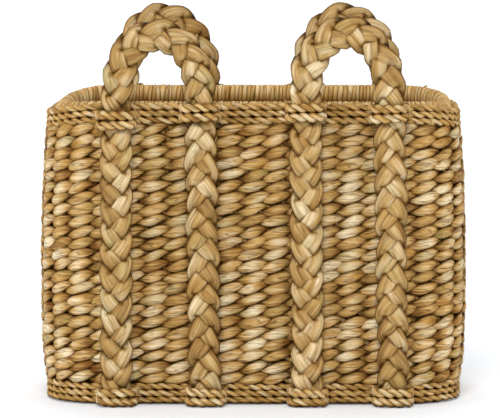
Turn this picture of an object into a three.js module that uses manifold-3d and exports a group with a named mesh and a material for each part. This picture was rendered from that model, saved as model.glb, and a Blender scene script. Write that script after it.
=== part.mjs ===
// Rush magazine basket: a twined wall and a woven base on a welded wire frame, a wound rim, three
// thin cords round the rim and three round the foot, four plaits that run up the wall and stand over
// the rim as loop handles, and the lashings that tie every plait leg to the rim and to the foot.
// Millimetres, +Z up, +X to the right, the front looks along -Y. The origin is on the floor, under
// the middle of the basket.

import * as THREE from 'three';
import Module from 'manifold-3d';
import { mergeVertices } from 'three/addons/utils/BufferGeometryUtils.js';

const wasm = await Module();
wasm.setup();

// Body: its outline is a rectangle with round corners, given where the basket is widest
const bodyLength = 434;
const bodyDepth = 225;
const cornerRadius = 68;
const rimHeight = 307;
const bellyHeight = 135;
const footDrawIn = 11.4;
const rimDrawIn = 7.8;
const footCurvePower = 4;
const rimCurvePower = 2.2;
const cornerSteps = 5;

// How far the rim falls round each corner, counter-clockwise from the back right one
const cornerDips = [9.5, 13, 8.5, 7.5];

// Gap between pieces that touch, and the larger one under the plaits, which pass over a curved wall
const clearance = 0.3;
const plaitClearance = 0.6;

// Wall
const wallThickness = 13;
const courseCount = 23;
const courseGrooveDepth = 2.2;
const courseShoulderShares = [0.24, 0.76];
const bandBlendHeight = 25;

// Cords round rim and foot
const bandCordDiameter = 7;
const bandCordRows = 3;
const baseBandHeight = 22;
const cordSides = 6;

// Rim winding
const rimBandHeight = 22;
const rimWindingThickness = 16;
const rimWindingRounding = 7.4;
const rimRoundingSteps = 3;

// Base mat
const matThickness = 13;
const matEdgeRounding = 2;

// Wire frame
const hoopWireDiameter = 4;
const uprightWireDiameter = 2.5;
const hoopSides = 6;
const uprightSides = 4;
const longSideBays = 6;
const shortSideBays = 2;
const cornerBays = 2;
const footHoopHeight = 7;
const rimHoopDepth = 10;

// Plaits
const plaitWidth = 34.5;
const plaitThickness = 16;
const handleCentre = 95;
const handleHalfSpan = 42;
const handleTops = { front_left: 392.5, front_right: 396, back_left: 393.5, back_right: 393.5 };
const springHeight = 315;
const plaitFootHeight = 1;
const plaitPinchShare = 0.88;
const archSteps = 12;
const legSteps = 8;
const plaitSectionShares = [
  [0.5, 0], [0.37, 0.42], [0, 0.5], [-0.37, 0.42], [-0.5, 0], [-0.37, -0.42], [0, -0.5], [0.37, -0.42],
];

// Lashings: two turns of cord, one above the other
const lashingTurnHeight = 7.8;
const lashingThickness = 5.6;
const lashingCornerRadius = 4.5;
const baseLashingFoot = 2.5;
const rimLashingFoot = 290.5;
const lashingSectionShares = [
  [0, 0.06], [0.7, 0.02], [1, 0.25], [0.7, 0.5], [1, 0.75], [0.7, 0.98], [0, 0.94],
];

// Legs of the plaits on one side, from left to right: how far the foot strays from the handle's line
// and how far the rim lashing has slipped down
const legDetails = [
  { place: 'left_outer', footDrift: 0, lashingSlip: 8 },
  { place: 'left_inner', footDrift: 6, lashingSlip: 0 },
  { place: 'right_inner', footDrift: 3, lashingSlip: 0 },
  { place: 'right_outer', footDrift: 5, lashingSlip: 1 },
];

// Finishes
const wallFinish = { color: 0xb08d5b, roughness: 0.72, metalness: 0 };
const windingFinish = { color: 0xb4935f, roughness: 0.68, metalness: 0 };
const cordFinish = { color: 0xa98650, roughness: 0.74, metalness: 0 };
const plaitFinish = { color: 0xb9975f, roughness: 0.66, metalness: 0 };
const wireFinish = { color: 0x3a2c1e, roughness: 0.5, metalness: 0.6 };

// Sizes that follow
const rimBandFoot = rimHeight - rimBandHeight;
const courseHeight = (rimBandFoot - baseBandHeight) / courseCount;
const rimHoopHeight = rimHeight - rimHoopDepth;
const lashingHeight = 2 * lashingTurnHeight;
const cornerCentreX = bodyLength / 2 - cornerRadius;
const cornerCentreY = bodyDepth / 2 - cornerRadius;

// Outer face of the weave at a height, as an offset from the widest outline
function faceOffset(height) {
  if (height < bellyHeight) {
    return -footDrawIn * (1 - height / bellyHeight) ** footCurvePower;
  }
  return -rimDrawIn * ((height - bellyHeight) / (rimHeight - bellyHeight)) ** rimCurvePower;
}

// The same, with the cords of rim and foot standing straight
function outerOffset(height) {
  return faceOffset(Math.min(Math.max(height, baseBandHeight), rimBandFoot + rimBandHeight / 2));
}

// Middle of the wall at a height: it moves in behind the cords of rim and foot
function coreOffset(height) {
  const fromBands = Math.min(height - baseBandHeight, rimBandFoot - height);
  const bandShare = 1 - Math.min(Math.max(fromBands / bandBlendHeight, 0), 1);
  return outerOffset(height) - wallThickness / 2 - bandShare * (bandCordDiameter + clearance);
}

// Places on the outline: the centre that each is measured from, its outward direction, and how far
// the rim falls there. The fall sets in smoothly round each corner.
function outlinePlace(quarter, angle) {
  const sideX = quarter === 0 || quarter === 3 ? 1 : -1;
  const sideY = quarter < 2 ? 1 : -1;
  const cos = Math.cos(angle);
  const sin = Math.sin(angle);
  const endShare = 1 - Math.acos(Math.min(Math.abs(cos), 1)) * 2 / Math.PI;
  return {
    x: sideX * cornerCentreX,
    y: sideY * cornerCentreY,
    cos,
    sin,
    dip: cornerDips[quarter] * THREE.MathUtils.smoothstep(endShare, 0, 1),
  };
}

// Heights are given as on the long sides. Above the foot they shrink where the rim falls.
function outlinePoint(place, offset, height) {
  const radius = cornerRadius + offset;
  const fallShare = Math.max(height - baseBandHeight, 0) / (rimHeight - baseBandHeight);
  return new THREE.Vector3(
    place.x + radius * place.cos,
    place.y + radius * place.sin,
    height - place.dip * fallShare,
  );
}

function outlinePlaces(stepsPerCorner) {
  const places = [];
  for (let quarter = 0; quarter < 4; quarter += 1) {
    for (let step = 0; step <= stepsPerCorner; step += 1) {
      places.push(outlinePlace(quarter, (quarter + step / stepsPerCorner) * Math.PI / 2));
    }
  }
  return places;
}

// Places of the upright wires: those of the corners, and bays of equal width along each straight side
function uprightPlaces() {
  const corners = outlinePlaces(cornerBays);
  const places = [];
  corners.forEach((place, index) => {
    places.push(place);
    const isCornerEnd = index % (cornerBays + 1) === cornerBays;
    if (!isCornerEnd) {
      return;
    }
    const next = corners[(index + 1) % corners.length];
    const bays = place.x === next.x ? shortSideBays : longSideBays;
    for (let bay = 1; bay < bays; bay += 1) {
      const share = bay / bays;
      places.push({
        ...place,
        x: THREE.MathUtils.lerp(place.x, next.x, share),
        y: THREE.MathUtils.lerp(place.y, next.y, share),
        dip: THREE.MathUtils.lerp(place.dip, next.dip, share),
      });
    }
  });
  return places;
}

// Skin over a row of closed loops. A loop's points run so that the skin faces out; the capping
// outline is the same loop in two dimensions, counter-clockwise.
function skin(loops, cappingOutline) {
  const loopLength = loops[0].length;
  const positions = loops.flat().flatMap((point) => point.toArray());
  const faces = [];
  const spans = cappingOutline ? loops.length - 1 : loops.length;
  for (let span = 0; span < spans; span += 1) {
    const here = span * loopLength;
    const ahead = ((span + 1) % loops.length) * loopLength;
    for (let step = 0; step < loopLength; step += 1) {
      const beside = (step + 1) % loopLength;
      faces.push(here + step, ahead + step, ahead + beside);
      faces.push(here + step, ahead + beside, here + beside);
    }
  }
  if (cappingOutline) {
    const last = (loops.length - 1) * loopLength;
    for (const [a, b, c] of THREE.ShapeUtils.triangulateShape(cappingOutline, [])) {
      faces.push(a, b, c);
      faces.push(last + a, last + c, last + b);
    }
  }
  const geometry = new THREE.BufferGeometry();
  geometry.setAttribute('position', new THREE.Float32BufferAttribute(positions, 3));
  geometry.setIndex(faces);
  return geometry;
}

// Ring round the basket with a section given as [offset, height] points, counter-clockwise
function ring(section) {
  const loops = outlinePlaces(cornerSteps).map((place) => (
    section.map(([offset, height]) => outlinePoint(place, offset, height))
  ));
  return skin(loops);
}

function polygonSection(centreOffset, centreHeight, radius, sides) {
  return Array.from({ length: sides }, (_, side) => {
    const angle = side / sides * 2 * Math.PI;
    return [centreOffset + radius * Math.cos(angle), centreHeight + radius * Math.sin(angle)];
  });
}

// Booleans
function toSolid(geometry) {
  const bare = new THREE.BufferGeometry();
  bare.setAttribute('position', geometry.getAttribute('position').clone());
  bare.setIndex(geometry.getIndex());
  const merged = mergeVertices(bare);
  return new wasm.Manifold(new wasm.Mesh({
    numProp: 3,
    vertProperties: new Float32Array(merged.getAttribute('position').array),
    triVerts: new Uint32Array(merged.getIndex().array),
  }));
}

function toGeometry(solid) {
  const mesh = solid.getMesh();
  const geometry = new THREE.BufferGeometry();
  geometry.setAttribute('position', new THREE.BufferAttribute(new Float32Array(mesh.vertProperties), 3));
  geometry.setIndex(new THREE.BufferAttribute(new Uint32Array(mesh.triVerts), 1));
  return geometry;
}

// Wire frame: two hoops, the uprights that join them and the cross wires of the base. Its growth is
// added to every wire's radius, so that the same function also gives the room that the wires take.
function hoopSection(height, growth) {
  return polygonSection(coreOffset(height), height, hoopWireDiameter / 2 + growth, hoopSides);
}

function uprightWire(place, growth) {
  const radius = uprightWireDiameter / 2 + growth;
  const heights = [
    footHoopHeight, baseBandHeight, baseBandHeight + bandBlendHeight, bellyHeight,
    rimBandFoot - bandBlendHeight, rimBandFoot, rimHoopHeight,
  ];
  const section = polygonSection(0, 0, radius, uprightSides);
  const loops = heights.map((height) => {
    const centre = outlinePoint(place, coreOffset(height), height);
    return section.map(([out, along]) => new THREE.Vector3(
      centre.x + out * place.cos + along * place.sin,
      centre.y + out * place.sin - along * place.cos,
      centre.z,
    ));
  });
  return skin(loops, section.map(([out, along]) => new THREE.Vector2(out, along)));
}

function crossWire(x, growth) {
  const radius = uprightWireDiameter / 2 + growth;
  const section = polygonSection(0, 0, radius, uprightSides);
  const reach = cornerCentreY + cornerRadius + coreOffset(footHoopHeight);
  const loops = [-reach, reach].map((y) => (
    section.map(([out, up]) => new THREE.Vector3(x + out, y, footHoopHeight + up))
  ));
  return skin(loops, section.map(([out, up]) => new THREE.Vector2(out, up)));
}

function wireFrameSolid(growth) {
  let frame = toSolid(ring(hoopSection(footHoopHeight, growth)));
  frame = frame.add(toSolid(ring(hoopSection(rimHoopHeight, growth))));
  for (const place of uprightPlaces()) {
    frame = frame.add(toSolid(uprightWire(place, growth)));
  }
  for (let bay = 0; bay <= longSideBays; bay += 1) {
    const x = THREE.MathUtils.lerp(-cornerCentreX, cornerCentreX, bay / longSideBays);
    frame = frame.add(toSolid(crossWire(x, growth)));
  }
  return frame;
}

// Wall: a flat foot behind the cords, then the courses as ribs, with a smooth inner face
function wallSection() {
  const bandFace = outerOffset(0) - bandCordDiameter - clearance;
  const section = [[bandFace - wallThickness, 0], [bandFace, 0], [bandFace, baseBandHeight]];
  for (let course = 0; course < courseCount; course += 1) {
    const foot = baseBandHeight + course * courseHeight;
    section.push([faceOffset(foot) - courseGrooveDepth, foot]);
    for (const share of courseShoulderShares) {
      const height = foot + share * courseHeight;
      section.push([faceOffset(height), height]);
    }
  }
  section.push([faceOffset(rimBandFoot) - courseGrooveDepth, rimBandFoot]);
  const innerHeights = [
    rimBandFoot, rimBandFoot - bandBlendHeight, (rimBandFoot + bellyHeight) / 2, bellyHeight,
    (bellyHeight + baseBandHeight) / 2, baseBandHeight + bandBlendHeight, baseBandHeight,
  ];
  for (const height of innerHeights) {
    section.push([coreOffset(height) - wallThickness / 2, height]);
  }
  return section;
}

// Wound rim: a roll with a nearly round top and foot
function rimWindingSection() {
  const outer = outerOffset(rimHeight) - bandCordDiameter - clearance;
  const foot = rimBandFoot + clearance;
  const round = rimWindingRounding;
  const halfWidth = rimWindingThickness / 2 - round;
  const halfHeight = (rimHeight - foot) / 2 - round;
  const middleOffset = outer - rimWindingThickness / 2;
  const middleHeight = (rimHeight + foot) / 2;
  const section = [];
  for (let quarter = 0; quarter < 4; quarter += 1) {
    const centreOffset = middleOffset + (quarter === 0 || quarter === 3 ? halfWidth : -halfWidth);
    const centreHeight = middleHeight + (quarter < 2 ? halfHeight : -halfHeight);
    for (let step = 0; step <= rimRoundingSteps; step += 1) {
      const angle = (quarter + step / rimRoundingSteps) * Math.PI / 2;
      section.push([centreOffset + round * Math.cos(angle), centreHeight + round * Math.sin(angle)]);
    }
  }
  return section;
}

// Base mat: a slab inside the foot of the wall
function baseMat() {
  const edge = outerOffset(0) - bandCordDiameter - wallThickness - 2 * clearance;
  const levels = [
    [edge, 0],
    [edge, matThickness - matEdgeRounding],
    [edge - matEdgeRounding, matThickness],
  ];
  const places = outlinePlaces(cornerSteps).reverse();
  const loops = levels.map(([offset, height]) => places.map((place) => outlinePoint(place, offset, height)));
  const outline = loops[0].map((point) => new THREE.Vector2(point.x, -point.y));
  return skin(loops, outline);
}

// Cords of the rim and of the foot, one closed ring for each row
function bandCord(bandFoot, bandHeight, row) {
  const rowHeight = bandHeight / bandCordRows;
  const centreHeight = bandFoot + (row + 1 / 2) * rowHeight;
  const centreOffset = outerOffset(centreHeight) - bandCordDiameter / 2;
  const halfHeight = (rowHeight - clearance) / 2;
  const section = polygonSection(0, 0, 1, cordSides).map(([out, up]) => [
    centreOffset + out * bandCordDiameter / 2,
    centreHeight + up * halfHeight,
  ]);
  return ring(section);
}

// Line of a plait leg at a height, and the middle of the plait's thickness there
function legLine(detailIndex, height) {
  const side = detailIndex < 2 ? -1 : 1;
  const isOuter = detailIndex === 0 || detailIndex === legDetails.length - 1;
  const handleLine = side * (isOuter ? handleCentre + handleHalfSpan : handleCentre - handleHalfSpan);
  const drift = legDetails[detailIndex].footDrift * Math.max(1 - height / springHeight, 0);
  return handleLine + drift;
}

function plaitLift(height) {
  return cornerCentreY + cornerRadius + outerOffset(height) + plaitClearance + plaitThickness / 2;
}

// Heights at which a leg's skin has a loop, with the plait's width there as a share of the full one
function legLevels(slip) {
  const baseTop = baseLashingFoot + lashingHeight;
  const rimFoot = rimLashingFoot - slip;
  const levels = [[plaitFootHeight, plaitPinchShare], [baseTop, plaitPinchShare]];
  for (let step = 0; step <= legSteps; step += 1) {
    const share = (1 - Math.cos(step / legSteps * Math.PI)) / 2;
    levels.push([THREE.MathUtils.lerp(baseTop + lashingTurnHeight, rimFoot - lashingTurnHeight, share), 1]);
  }
  levels.push([rimFoot, plaitPinchShare], [rimFoot + lashingHeight, plaitPinchShare]);
  levels.push([springHeight, 1]);
  return levels;
}

// Plait: up one leg, over the handle and down the other leg. In its side's own frame the wall
// faces -Y.
function plait(startLeg, endLeg, handleTop) {
  const archRise = handleTop - plaitWidth / 2 - springHeight;
  const middle = (legLine(startLeg, springHeight) + legLine(endLeg, springHeight)) / 2;
  const halfSpan = (legLine(endLeg, springHeight) - legLine(startLeg, springHeight)) / 2;
  const stations = [];
  for (const [height, share] of legLevels(legDetails[startLeg].lashingSlip)) {
    stations.push({ x: legLine(startLeg, height), height, share, turn: 0 });
  }
  for (let step = 1; step < archSteps; step += 1) {
    const angle = step / archSteps * Math.PI;
    stations.push({
      x: middle - halfSpan * Math.cos(angle),
      height: springHeight + archRise * Math.sin(angle),
      share: 1,
      turn: Math.atan2(archRise * Math.cos(angle), halfSpan * Math.sin(angle)) - Math.PI / 2,
    });
  }
  for (const [height, share] of legLevels(legDetails[endLeg].lashingSlip).reverse()) {
    stations.push({ x: legLine(endLeg, height), height, share, turn: -Math.PI });
  }
  const loops = stations.map((station) => plaitSectionShares.map(([across, out]) => {
    const reach = across * plaitWidth * station.share;
    const lift = plaitLift(station.height) + out * plaitThickness;
    return new THREE.Vector3(
      station.x + reach * Math.cos(station.turn),
      -lift,
      station.height + reach * Math.sin(station.turn),
    );
  }));
  return skin(loops, plaitSectionShares.map(([across, out]) => new THREE.Vector2(across, out)));
}

// Lashing: from the cords of the band round the plait leg and back to them. Its own frame has the
// leg's line at x = 0.
function lashing(foot, middleHeight) {
  const halfWidth = plaitWidth * plaitPinchShare / 2 + clearance;
  const bandFace = cornerCentreY + cornerRadius + outerOffset(middleHeight);
  const start = bandFace + clearance;
  const front = plaitLift(foot) + plaitThickness / 2 + clearance;
  const shoulder = front - lashingCornerRadius;
  const path = [
    [-halfWidth, start], [-halfWidth, shoulder], [-halfWidth + lashingCornerRadius, front],
    [halfWidth - lashingCornerRadius, front], [halfWidth, shoulder], [halfWidth, start],
  ].map(([x, lift]) => new THREE.Vector2(x, -lift));
  const normals = path.slice(1).map((point, index) => {
    const along = point.clone().sub(path[index]).normalize();
    return new THREE.Vector2(along.y, -along.x);
  });
  const loops = path.map((point, index) => {
    const before = normals[Math.max(index - 1, 0)];
    const after = normals[Math.min(index, normals.length - 1)];
    const mitre = before.clone().add(after).divideScalar(1 + before.dot(after));
    return lashingSectionShares.map(([out, up]) => new THREE.Vector3(
      point.x + out * lashingThickness * mitre.x,
      point.y + out * lashingThickness * mitre.y,
      foot + up * lashingHeight,
    ));
  });
  return skin(loops, lashingSectionShares.map(([out, up]) => new THREE.Vector2(out, up)));
}

// Assembly
const basket = new THREE.Group();

function addPiece(group, name, geometry, finish) {
  const flat = geometry.toNonIndexed();
  flat.computeVertexNormals();
  const mesh = new THREE.Mesh(flat, new THREE.MeshStandardMaterial(finish));
  mesh.name = name;
  group.add(mesh);
  return mesh;
}

const wireRoom = wireFrameSolid(clearance);
addPiece(basket, 'wire_frame', toGeometry(wireFrameSolid(0)), wireFinish);
addPiece(basket, 'woven_wall', toGeometry(toSolid(ring(wallSection())).subtract(wireRoom)), wallFinish);
addPiece(basket, 'base_mat', toGeometry(toSolid(baseMat()).subtract(wireRoom)), wallFinish);
addPiece(basket, 'rim_winding', toGeometry(toSolid(ring(rimWindingSection())).subtract(wireRoom)), windingFinish);

['lower', 'middle', 'upper'].forEach((level, row) => {
  addPiece(basket, `base_cord_${level}`, bandCord(0, baseBandHeight, row), cordFinish);
  addPiece(basket, `rim_cord_${level}`, bandCord(rimBandFoot, rimBandHeight, row), cordFinish);
});

// One side carries two plaits and the lashings of their four legs. The back is the front turned
// half round, so its left is the basket's right.
function addSide(side, turn, nameOf) {
  const group = new THREE.Group();
  group.rotation.z = turn;
  basket.add(group);
  const left = `${side}_${nameOf('left')}`;
  const right = `${side}_${nameOf('right')}`;
  addPiece(group, `${left}_plait`, plait(0, 1, handleTops[left]), plaitFinish);
  addPiece(group, `${right}_plait`, plait(2, 3, handleTops[right]), plaitFinish);
  legDetails.forEach(({ place, lashingSlip }, index) => {
    const leg = `${side}_${place.replace(/left|right/, nameOf)}`;
    const rimFoot = rimLashingFoot - lashingSlip;
    const feet = { rim: rimFoot, base: baseLashingFoot };
    for (const [band, foot] of Object.entries(feet)) {
      const middleHeight = foot + lashingHeight / 2;
      const mesh = addPiece(group, `${leg}_${band}_lashing`, lashing(foot, middleHeight), cordFinish);
      mesh.position.x = legLine(index, middleHeight);
    }
  });
}

addSide('front', 0, (hand) => hand);
addSide('back', Math.PI, (hand) => (hand === 'left' ? 'right' : 'left'));

export default basket;
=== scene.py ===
"""A rush magazine basket, woven strand by strand over its frame: twined walls and base, a wound
rim, twisted cords round rim and foot, and four plaits that stand over the rim as loop handles."""

import functools
import math

import bpy
import numpy as np
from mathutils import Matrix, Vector


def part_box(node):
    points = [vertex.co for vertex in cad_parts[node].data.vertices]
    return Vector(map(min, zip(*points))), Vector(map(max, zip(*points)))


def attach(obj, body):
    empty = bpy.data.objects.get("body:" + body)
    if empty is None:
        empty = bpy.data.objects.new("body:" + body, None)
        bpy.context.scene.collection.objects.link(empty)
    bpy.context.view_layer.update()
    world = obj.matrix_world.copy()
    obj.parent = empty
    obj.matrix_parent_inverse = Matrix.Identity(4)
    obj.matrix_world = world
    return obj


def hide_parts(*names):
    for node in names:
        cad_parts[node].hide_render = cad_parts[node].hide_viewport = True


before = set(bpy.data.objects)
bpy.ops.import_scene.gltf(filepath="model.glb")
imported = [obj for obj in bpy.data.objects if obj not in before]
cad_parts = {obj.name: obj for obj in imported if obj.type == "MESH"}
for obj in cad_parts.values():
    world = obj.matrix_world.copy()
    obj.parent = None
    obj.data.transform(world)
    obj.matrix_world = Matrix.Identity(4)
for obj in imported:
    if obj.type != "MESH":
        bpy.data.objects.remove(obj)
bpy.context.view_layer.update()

MM = 0.001

# Body, as the frame has it
HALF_LENGTH, HALF_DEPTH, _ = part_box("woven_wall")[1]
WALL_TOP = 285 * MM
RIM_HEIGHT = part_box("rim_winding")[1][2]
MAT_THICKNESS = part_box("base_mat")[1][2]
CORNER_RADIUS = 68 * MM
BELLY_HEIGHT = 135 * MM
FOOT_DRAW_IN = 11.4 * MM
RIM_DRAW_IN = 7.8 * MM
FOOT_CURVE_POWER = 4
RIM_CURVE_POWER = 2.2
BACK_RIGHT_DIP = 9.5 * MM
BACK_LEFT_DIP = 13 * MM
FRONT_LEFT_DIP = 8.5 * MM
FRONT_RIGHT_DIP = 7.5 * MM
WALL_THICKNESS = 13 * MM
BASE_BAND_HEIGHT = 22 * MM
CLEARANCE = 0.3 * MM
FLOOR_GAP = 0.1 * MM
# Painted contact shade near the floor: darkest up to the dark height, and gone over the contact
# height above that
FLOOR_DARK_HEIGHT = 1.2 * MM
FLOOR_CONTACT_HEIGHT = 4 * MM
FLOOR_CONTACT_SHADE = 0.05

# Weave. Shares of a stitch are of its length, and those of its slant and tip are of its height.
# The foot's shade ring and the stakes are given tone, warmth and painted shade
COURSES = 23
FOOT_COURSES = 2
FOOT_SHADE = 0.25
FOOT_SHADE_RING_HALF_HEIGHT = 2.2 * MM
FOOT_SHADE_RING_STEPS = 4
FOOT_SHADE_RING_COLOUR_AND_SHADE = (0.2, 0.5, 0.1)
COURSE_HEIGHT = (WALL_TOP - BASE_BAND_HEIGHT) / COURSES
COURSE_WANDER = 0.45 * MM
WANDER_STAKES = 3
LONG_SIDE_STAKES = 12
SHORT_SIDE_STAKES = 4
CORNER_STAKES = 4
STAKES = 2 * (LONG_SIDE_STAKES + SHORT_SIDE_STAKES) + 4 * CORNER_STAKES
PLAN_STEPS = 24
STITCH_STEPS = 12
MAT_STITCH_STEPS = 7
STITCH_FACE_POINTS = 8
STITCH_FULLNESS = 2.4
STITCH_HALF_HEIGHT = 6.0 * MM
STITCH_HALF_THICKNESS = 2.8 * MM
STITCH_SLANT_SHARE = 0.14
STITCH_WAVE = 1.3 * MM
CROSSING_SHARE = 0.36
TIP_HALF_SHARE = 0.17
BEHIND_SHARE = 0.62
BEHIND_EASE_SHARE = 0.2
STITCH_TONE = 0.49
STITCH_WARMTH = 0.48
FIBRE_LAY = 0.27
STAKE_POINTS = 24
STAKE_RADIUS = 1.5 * MM
STAKE_COLOUR_AND_SHADE = (0.3, 0.5, 0.2)
CROSSING_SHADE_STRIP_HALF_WIDTH = 5.2 * MM

# Cords
CORD_DIAMETER = 7 * MM
CORD_LAY = 22 * MM
CORD_LIFT = 1.4 * MM
CORD_STEPS = 14
CORD_FACE_POINTS = 5
CORD_PALENESS = 0.5
PLY_WARMTH = 0.52
PLY_FULLNESS = 2.2
PLY_HALF_WIDTH_SHARE = 0.325
PLY_FLATNESS = 0.92
PLY_ORBIT_OUT_SHARE = 0.21
PLY_ORBIT_UP_SHARE = 0.23
BAND_ROWS = ("lower", "middle", "upper")
BASE_CORD_PITCH = (BASE_BAND_HEIGHT - CORD_LIFT) / len(BAND_ROWS)
RIM_CORD_PITCH = 7 * MM
RIM_CORD_SQUEEZE = 0.14

# Rim winding
WRAP_WIDTH = 4.3 * MM
WRAP_STEPS = 6
WRAP_PATTERN_SHIFT = 7
WRAP_SIDES = 24
WRAP_GROOVE = 1.2 * MM
WRAP_WIDTH_SHARES = (0.65, 1.35)
WRAP_FATNESS_SHARES = (0.7, 1.1)
WRAP_TONE = 0.52
WRAP_WARMTH = 0.5
RIM_WINDING_THICKNESS = 16 * MM
RIM_WINDING_SQUARENESS = 0.8
END_CROWN_RISE = 3.5 * MM
BACK_CROWN_RISE = 1.7 * MM

# Plaits
PLAIT_WIDTH = 34.5 * MM
PLAIT_THICKNESS = 16 * MM
PLAIT_CLEARANCE = 0.6 * MM
PLAIT_CYCLE = 66 * MM
PLAIT_STEP = 2.2 * MM
PLAIT_ROUTE_POINTS = 80
PLAIT_TONE = 0.5
PLAIT_WARMTH = 0.48
PLAIT_FIBRE_LAY = 0.12
BUNDLES = 3
BUNDLE_LEAVES = 5
LEAF_FACE_POINTS = 15
LEAF_FULLNESS = 2.8
PLAIT_PINCH_SHARE = 0.88
PINCH_REACH_TURNS = 2.2
LASHED_SHARE = 0.91
LEAF_HALF_WIDTH = 8.7 * MM
EDGE_HALF_WIDTH = 7.6 * MM
LEAF_HALF_THICKNESS = 3.5 * MM
# How far the painted shade beside a covering bundle's edge reaches
CONTACT_WIDTH = 4.2 * MM
HANDLE_CENTRE = 95 * MM
HANDLE_HALF_SPAN = 42 * MM
SPRING_HEIGHT = 315 * MM
PLAIT_FOOT = 1 * MM

# Lashings
LASHING_TURN_HEIGHT = 7.8 * MM
LASHING_THICKNESS = 5.6 * MM
LASHING_LAY = 19 * MM
LASHING_PALENESS = 0.58
LASHING_SAG = 2 * MM
LASHING_RISE = 1.8 * MM
LASHING_SLANT = 1.6 * MM
LASHING_FULLNESS = 1.13
LASHING_SQUARENESS = 0.45
LASHING_ARC_POINTS = 34
LASHING_POINTS = 50
LASHED_HALF_WIDTH = PLAIT_WIDTH * PLAIT_PINCH_SHARE / 2

# Loose ends. The broad torn leaf is placed across and up from the middle of the floor
LOOSE_END_POINTS = 8
LOOSE_END_LENGTHS = (4 * MM, 9 * MM)
LOOSE_END_HALF_WIDTHS = (1.2 * MM, 1.9 * MM)
LOOSE_END_HALF_THICKNESS = 0.5 * MM
LOOSE_END_BEND = 1.2 * MM
LOOSE_END_LIFT = 0.6 * MM
TORN_LEAF_FOOT = (45 * MM, 303 * MM)
TORN_LEAF_TIP = (38.5 * MM, 317 * MM)
TORN_LEAF_HALF_WIDTH = 4.2 * MM
TORN_LEAF_SINK = 1 * MM
RIM_TIP_STAKE = 2.4
RIM_TIP_RISE = 2 * MM
RIM_TIP_REACH = (3.5 * MM, 0, 3.8 * MM)
RIM_TIP_HALF_WIDTH = 1.6 * MM

# Random spreads from leaf to leaf: of a stitch, a ply of cord, a turn of the rim winding and a
# bundle in a plait
STITCH_SPREADS = {
    "place": 0.06, "crossing": 0.15, "height": 0.08, "thickness": 0.05, "depth": 0.35 * MM,
    "rise": 0.45 * MM, "folds": 0.35, "tone": 0.2, "warmth": 0.19,
}
PLY_SPREADS = {"wobble": 0.25 * MM, "turn": 0.12, "size": 0.08, "tone": 0.12, "warmth": 0.12}
WRAP_SPREADS = {"lean": 0.28, "tone": 0.05, "warmth": 0.12}
BUNDLE_SPREADS = {
    "turn": 0.14, "size": 0.06, "sway": 0.05, "folds": 0.45, "leaf_tone": 0.07, "tone": 0.12,
    "warmth": 0.16,
}

# Each strand starts at its own place in the leaf's pattern, at most this far along it, in metres
PATTERN_REACH = 10

# Seeds of the random draws
COURSE_SEED = 100
BASE_MAT_SEED = 300
STAKE_SEED = 400
RIM_WINDING_SEED = 500
RIM_CORD_SEED = 520
BASE_CORD_SEED = 530
TORN_LEAF_SEED = 560
PLAIT_SEED = 600
LASHING_SEED = 700
LOOSE_END_SEED = 800
SIDE_SEED_STEP = 20

# Legs of the plaits on one side, from left to right: how far the foot strays from the handle's line
LEGS = ("left_outer", "left_inner", "right_inner", "right_outer")
FOOT_DRIFT = (0, 6 * MM, 3 * MM, 5 * MM)

# Plan of the basket, counter-clockwise from its right end: the stakes at which arcs and straight
# sides meet, and there the centre of the arc, the outward direction, how much of the rim's fall at
# the ends has set in, and how large that fall is
CENTRE_X = HALF_LENGTH - CORNER_RADIUS
CENTRE_Y = HALF_DEPTH - CORNER_RADIUS
SIDE_COUNTS = [CORNER_STAKES, LONG_SIDE_STAKES, CORNER_STAKES, SHORT_SIDE_STAKES] * 2
KNOT_STAKES = np.cumsum([0] + SIDE_COUNTS)
KNOT_X = CENTRE_X * np.array([1, 1, -1, -1, -1, -1, 1, 1, 1])
KNOT_Y = CENTRE_Y * np.array([1, 1, 1, 1, -1, -1, -1, -1, 1])
KNOT_ANGLE = math.pi / 2 * np.array([0, 1, 1, 2, 2, 3, 3, 4, 4])
KNOT_END_SHARES = np.array([1, 0, 0, 1, 1, 0, 0, 1, 1])
CORNER_DIPS = [BACK_RIGHT_DIP, BACK_LEFT_DIP, FRONT_LEFT_DIP, FRONT_RIGHT_DIP, BACK_RIGHT_DIP]
KNOT_DIP = np.repeat(CORNER_DIPS, 2)[:-1]


def at_stake(stake, values):
    """Values given at the knots of the plan, read at any stake number."""
    return np.interp(np.mod(stake, STAKES), KNOT_STAKES, values)


def eased(share):
    """A share from 0 to 1, with a soft start and a soft end."""
    share = np.clip(share, 0, 1)
    return share * share * (3 - 2 * share)


def squarer(value, power):
    """A sine or cosine bent towards 1 and -1, which turns its circle into a rounded square."""
    return np.sign(value) * np.abs(value) ** power


def plan_place(stake, offset, height):
    """Points at these stakes, offset from the widest outline, and the outward directions there.
    Heights are given as on the long sides, and shrink where the rim falls."""
    angle = at_stake(stake, KNOT_ANGLE)
    cos, sin = np.cos(angle), np.sin(angle)
    radius = CORNER_RADIUS + np.asarray(offset)
    dip = at_stake(stake, KNOT_DIP) * eased(at_stake(stake, KNOT_END_SHARES))
    way_up = (np.asarray(height) - BASE_BAND_HEIGHT) / (RIM_HEIGHT - BASE_BAND_HEIGHT)
    z = height - dip * np.clip(way_up, 0, None)
    x = at_stake(stake, KNOT_X) + radius * cos
    y = at_stake(stake, KNOT_Y) + radius * sin
    return np.stack([x, y, z], axis=-1), np.stack([cos, sin, np.zeros_like(cos)], axis=-1)


def stakes_along(offset, shares):
    """Stake numbers at these shares of the way round at that offset, and the length of the way."""
    fine = np.linspace(0, STAKES, STAKES * PLAN_STEPS + 1)
    just_before_end = STAKES - 1e-9
    points, _ = plan_place(np.minimum(fine, just_before_end), offset, 0.0)
    length = np.concatenate([[0], np.cumsum(np.linalg.norm(np.diff(points, axis=0), axis=1))])
    whole = np.floor(shares)
    return np.interp((shares - whole) * length[-1], length, fine) + whole * STAKES, length[-1]


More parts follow.
